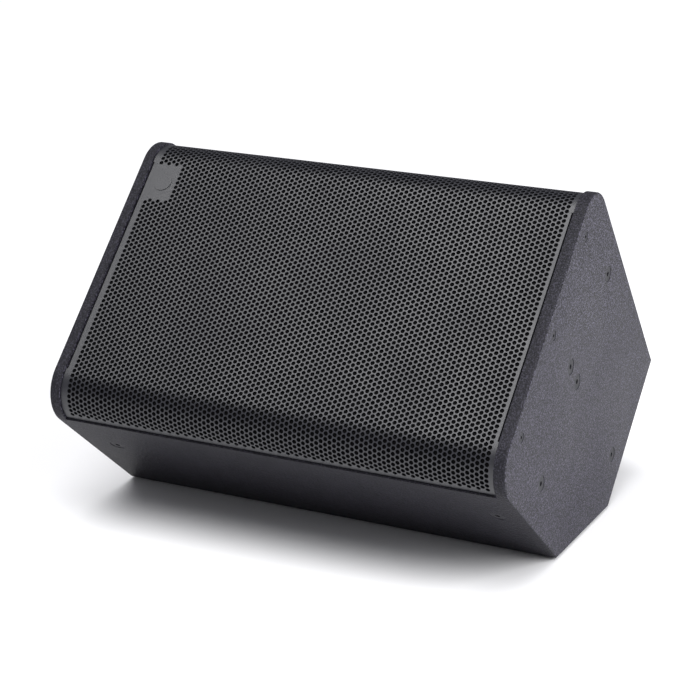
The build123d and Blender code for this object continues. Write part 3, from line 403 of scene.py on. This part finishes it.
def grille_piece(label, columns):
    """Part of the sheet, tiled with hexagonal cells round its holes, with the plain margins that touch it."""
    bm = bmesh.new()
    uv_layer = bm.loops.layers.uv.new("OFBake")
    made = {}
    flat = {}

    def vertex(x, along, under):
        key = (round(x, 6), round(along, 6), round(under, 6))
        if key not in made:
            made[key] = bm.verts.new(wrapped(x, along, under))
            flat[made[key]] = (x, along + UV_LEAN * under)
        return made[key]

    def face(points):
        corners = list(dict.fromkeys(vertex(*p) for p in points))
        if len(corners) > 2:
            bm.faces.new(corners)

    def strip(line, edge):
        """Closes the sheet from a line of cell corners out to an edge, with a rounded rim."""
        for (a, b), (c, d) in zip(zip(line, line[1:]), zip(edge, edge[1:])):
            in_c, in_d = [tuple(q[i] - EDGE_ROUND * q[i + 2] for i in (0, 1)) for q in (c, d)]
            face([(*a, 0), (*b, 0), (*in_d, 0), (*in_c, 0)])
            face([(*in_c, 0), (*in_d, 0), (*d[:2], EDGE_ROUND), (*c[:2], EDGE_ROUND)])
            face([(*c[:2], EDGE_ROUND), (*d[:2], EDGE_ROUND), (*d[:2], GRILLE_T), (*c[:2], GRILLE_T)])
            face([(*a, GRILLE_T), (*b, GRILLE_T), (*d[:2], GRILLE_T), (*c[:2], GRILLE_T)])

    hexagon = [(CELL_R * cos(i * pi / 3), CELL_R * sin(i * pi / 3)) for i in range(6)]
    rim_angles = [i * 2 * pi / HOLE_SIDES for i in range(HOLE_SIDES)]
    rim = [(HOLE_R * cos(a), HOLE_R * sin(a)) for a in rim_angles]
    for column in columns:
        x = column * COLUMN + COLUMN_SHIFT
        for along in rows(column):
            outer = [(x + a, along + b) for a, b in hexagon]
            ring = [(x + a, along + b) for a, b in rim]
            plain = x < PLATE_X and PLATE_ALONG[0] < along < PLATE_ALONG[1]
            for under in (0.0, GRILLE_T):
                if plain:
                    face([(*p, under) for p in outer])
                    continue
                for i in range(6):
                    a, b = outer[i], outer[(i + 1) % 6]
                    r = [ring[(2 * i + k) % HOLE_SIDES] for k in range(3)]
                    face([(*a, under), (*r[1], under), (*r[0], under)])
                    face([(*a, under), (*b, under), (*r[1], under)])
                    face([(*b, under), (*r[2], under), (*r[1], under)])
            if not plain:
                for a, b in zip(ring, ring[1:] + ring[:1]):
                    face([(*a, 0), (*b, 0), (*b, GRILLE_T), (*a, GRILLE_T)])
    for side in (1, -1):
        line = []
        for column in columns:
            x = column * COLUMN + COLUMN_SHIFT
            last = max(side * a for a in rows(column))
            top = side * (last + PITCH / 2)
            line += [(x - CELL_R / 2, top), (x + CELL_R / 2, top)]
        if columns[-1] != COLUMNS[-1]:
            nearest = max(side * a for a in rows(columns[-1] + 1))
            line.append((x + CELL_R, side * (nearest + PITCH / 2)))
        edge = [(p[0], side * SHEET_END, 0, side) for p in line]
        for end, columns_end in ((-1, COLUMNS[0]), (1, COLUMNS[-1])):
            if columns_end in columns:
                corner = (end * (SHEET_X + GRILLE_EAR), side * SHEET_END, 0, side)
                near = line[0] if end < 0 else line[-1]
                line = [near] + line if end < 0 else line + [near]
                edge = [corner] + edge if end < 0 else edge + [corner]
        strip(line, edge)
    for end, columns_end in ((-1, COLUMNS[0]), (1, COLUMNS[-1])):
        if columns_end in columns:
            x = columns_end * COLUMN + COLUMN_SHIFT
            line = [(x + end * CELL_R / 2, rows(columns_end)[0] - PITCH / 2)]
            for along in rows(columns_end):
                line += [(x + end * CELL_R, along), (x + end * CELL_R / 2, along + PITCH / 2)]
            edge = [(end * half_length(p[1]), p[1], end, 0) for p in line]
            for step in (-EAR_Y, EAR_Y):
                after = next(i for i, p in enumerate(line) if p[1] > step)
                lengths = (SHEET_X + GRILLE_EAR, SHEET_X) if step < 0 else (SHEET_X, SHEET_X + GRILLE_EAR)
                line[after:after] = [line[after - 1]] * 2
                edge[after:after] = [(end * length, step, end, 0) for length in lengths]
            low = (line[0], (end * (SHEET_X + GRILLE_EAR), -SHEET_END, end, 0))
            high = (line[-1], (end * (SHEET_X + GRILLE_EAR), SHEET_END, end, 0))
            strip([low[0]] + line + [high[0]], [low[1]] + edge + [high[1]])
    for f in bm.faces:
        for loop in f.loops:
            x, along = flat[loop.vert]
            loop[uv_layer].uv = (0.5 + x / UV_SPAN, 0.5 + along / UV_SPAN)
    name = f"perforated_grille_{label}"
    return new_piece(name, bm, grille_coat, ["front_grille"], smooth=SHARP_ANGLE)


for label, columns in PIECES.items():
    grille_piece(label, columns)


def box_piece(name, lows, highs, material):
    """A box along the cabinet frame's axes."""
    bm = bmesh.new()
    bmesh.ops.create_cube(bm, size=1)
    for v in bm.verts:
        v.co = Vector([(a + b) / 2 + (b - a) * c for a, b, c in zip(lows, highs, v.co)])
    for v in bm.verts:
        v.co = cab(*v.co)
    return new_piece(name, bm, material)


for end, label in ((-1, "left"), (1, "right")):
    near, far = sorted((end * SHEET_X, end * (SHEET_X - GRILLE_T)))
    box_piece(
        f"grille_flange_{label}", (near, -EAR_Y, -FLANGE), (far, EAR_Y, -GRILLE_T / 2),
        grille_coat,
    )

# ---------------------------------------------------------------- floor, light and camera
CAMERA_AZIMUTH = radians(26.012)
CAMERA_ELEVATION = radians(18.072)
CAMERA_ROLL = radians(0.288)
FOCAL_LENGTH_MM = 108.3
SENSOR_MM = 36
CAMERA_PLACE = (1.1605, -1.0730, 2.1424)  # in the cabinet's frame
FLOOR_SIZE = 12
FLOOR_DROP = 0.0002  # keeps the floor just clear of the feet
OVERHEAD_TOWARDS = (-0.08, -0.27, 0.93)
OVERHEAD_SPREAD = 50  # degrees
OVERHEAD_STRENGTH = 3.2
SIDE_PLACE = (2.0, -0.6, 1.5)
SIDE_AIM = (0.2, 0.0, 0.25)
SIDE_SIZE = (1.2, 1.6)
SIDE_POWER = 60


def make_camera():
    """The photograph's viewpoint."""
    data = bpy.data.cameras.new("camera")
    data.lens = FOCAL_LENGTH_MM
    data.sensor_width = SENSOR_MM
    camera = bpy.data.objects.new("camera", data)
    bpy.context.scene.collection.objects.link(camera)
    camera.location = cab(*CAMERA_PLACE)
    level = cos(CAMERA_ELEVATION)
    back = Vector((sin(CAMERA_AZIMUTH) * level, -cos(CAMERA_AZIMUTH) * level, sin(CAMERA_ELEVATION)))
    turn = (-back).to_track_quat("-Z", "Y").to_matrix().to_4x4() @ Matrix.Rotation(CAMERA_ROLL, 4, "Z")
    camera.rotation_euler = turn.to_euler()
    bpy.context.scene.camera = camera


def make_floor():
    bm = bmesh.new()
    bmesh.ops.create_grid(bm, x_segments=1, y_segments=1, size=FLOOR_SIZE)
    mesh = bpy.data.meshes.new("floor")
    bm.to_mesh(mesh)
    bm.free()
    material = bpy.data.materials.new("floor")
    material.use_nodes = True
    shader = material.node_tree.nodes["Principled BSDF"]
    shader.inputs["Base Color"].default_value = (0.85, 0.85, 0.86, 1)
    shader.inputs["Roughness"].default_value = 0.7
    mesh.materials.append(material)
    floor = bpy.data.objects.new("floor", mesh)
    floor.location.z = -FLOOR_DROP
    bpy.context.scene.collection.objects.link(floor)


def area_light(name, place, aim, size, power):
    data = bpy.data.lights.new(name, "AREA")
    data.shape = "RECTANGLE"
    data.size, data.size_y = size
    data.energy = power
    light = bpy.data.objects.new(name, data)
    bpy.context.scene.collection.objects.link(light)
    light.location = place
    light.rotation_euler = (Vector(aim) - Vector(place)).to_track_quat("-Z", "Y").to_euler()


def make_world():
    world = bpy.data.worlds.new("studio")
    bpy.context.scene.world = world
    world.use_nodes = True
    world.node_tree.nodes["Background"].inputs["Color"].default_value = (0.94, 0.94, 1, 1)
    world.node_tree.nodes["Background"].inputs["Strength"].default_value = 0.3


def sun(name, towards, spread, strength):
    data = bpy.data.lights.new(name, "SUN")
    data.angle = radians(spread)
    data.energy = strength
    light = bpy.data.objects.new(name, data)
    bpy.context.scene.collection.objects.link(light)
    light.rotation_euler = (-Vector(towards)).to_track_quat("-Z", "Y").to_euler()


make_camera()
make_floor()
make_world()
sun("overhead_softbox", OVERHEAD_TOWARDS, OVERHEAD_SPREAD, OVERHEAD_STRENGTH)
area_light("side_softbox", SIDE_PLACE, SIDE_AIM, SIDE_SIZE, SIDE_POWER)
bpy.context.scene.view_settings.view_transform = "Standard"
